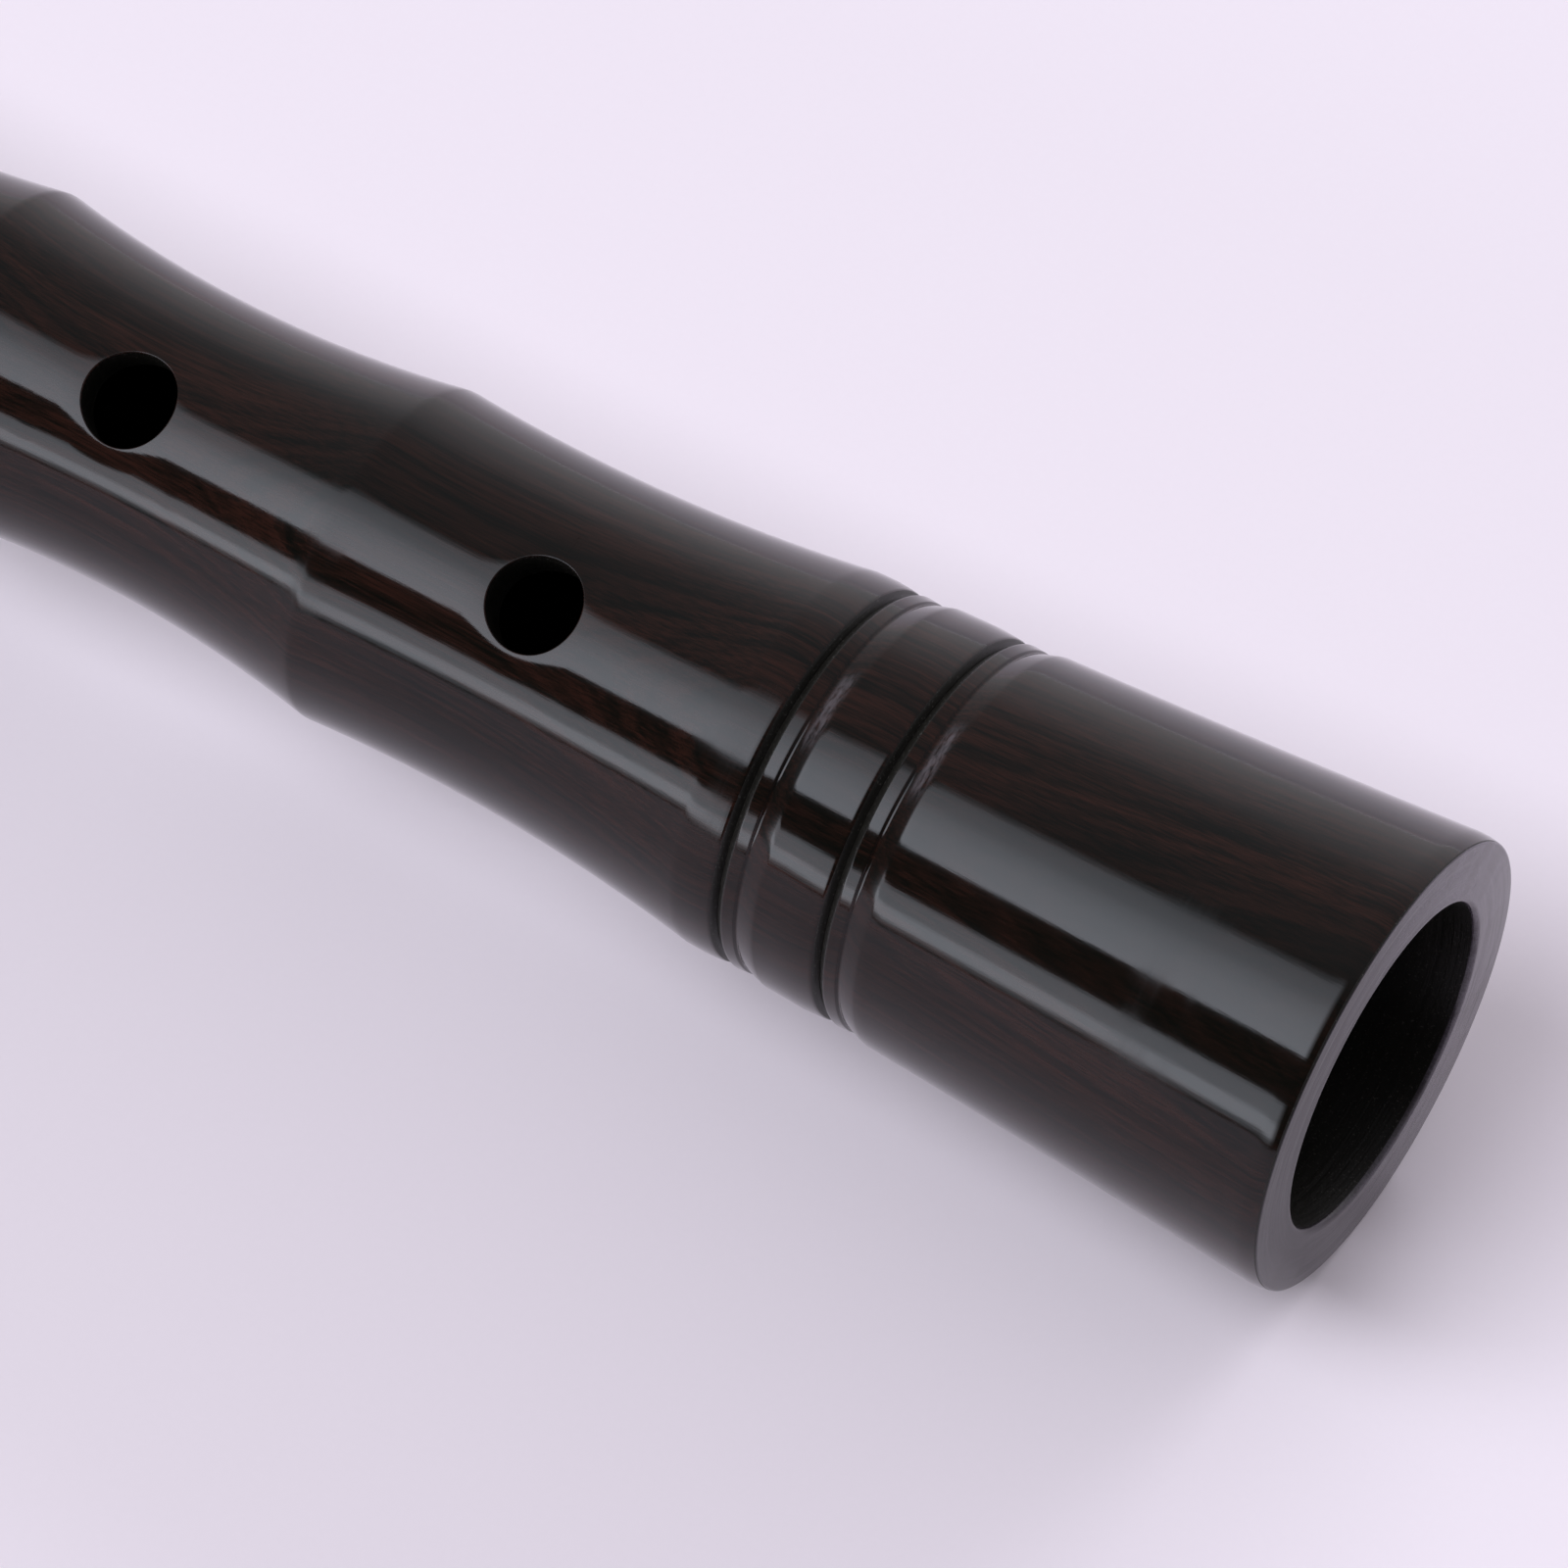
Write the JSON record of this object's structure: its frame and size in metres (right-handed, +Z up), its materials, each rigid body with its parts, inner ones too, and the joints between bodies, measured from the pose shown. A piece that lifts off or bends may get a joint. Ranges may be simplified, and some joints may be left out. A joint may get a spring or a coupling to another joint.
{
  "type": "suona",
  "caption": "Double-reed woodwind lying on its side: turned hardwood stem with finger holes, brass tuning sleeve, staple, beads and lip disc, and a cane reed; bell off.",
  "frame": {"origin": "centre of the footprint, on the surface that the instrument lies on", "axes": "+X along the instrument's axis towards the open foot of the stem, +Z up; the finger holes look up and 25.5 degrees towards -Y"},
  "size_m": [0.3964, 0.03, 0.03],
  "materials": {
    "blackwood": "polished oiled dark hardwood",
    "brass": "polished",
    "cork": "cut cork",
    "cane": "scraped cane",
    "copper": "bright copper wire"
  },
  "bodies": {
    "stem": {"stem": "blackwood", "stem_ferrule": "brass"},
    "sleeve": {"tuning_sleeve": "brass", "sleeve_cork": "cork"},
    "staple": {"staple": "brass", "staple_cork": "cork", "lower_bead": "brass", "upper_bead": "brass"},
    "disc": {"disc_hub": "brass", "air_disc": "brass"},
    "reed": {"reed": "cane", "reed_wire": "copper"}
  },
  "joints": [
    {"name": "sleeve_turn", "type": "hinge", "parent": "stem", "child": "sleeve", "pos_m": [-0.122, 0, 0.015], "axis": [-1, 0, 0], "continuous": true},
    {"name": "tuning_slide", "type": "slide", "parent": "sleeve", "child": "staple", "axis": [-1, 0, 0], "range_m": [0, 0.012]},
    {"name": "disc_spin", "type": "hinge", "parent": "staple", "child": "disc", "pos_m": [-0.1642, 0, 0.015], "axis": [-1, 0, 0], "continuous": true},
    {"name": "reed_pull", "type": "slide", "parent": "staple", "child": "reed", "axis": [-1, 0, 0], "range_m": [0, 0.01]}
  ]
}
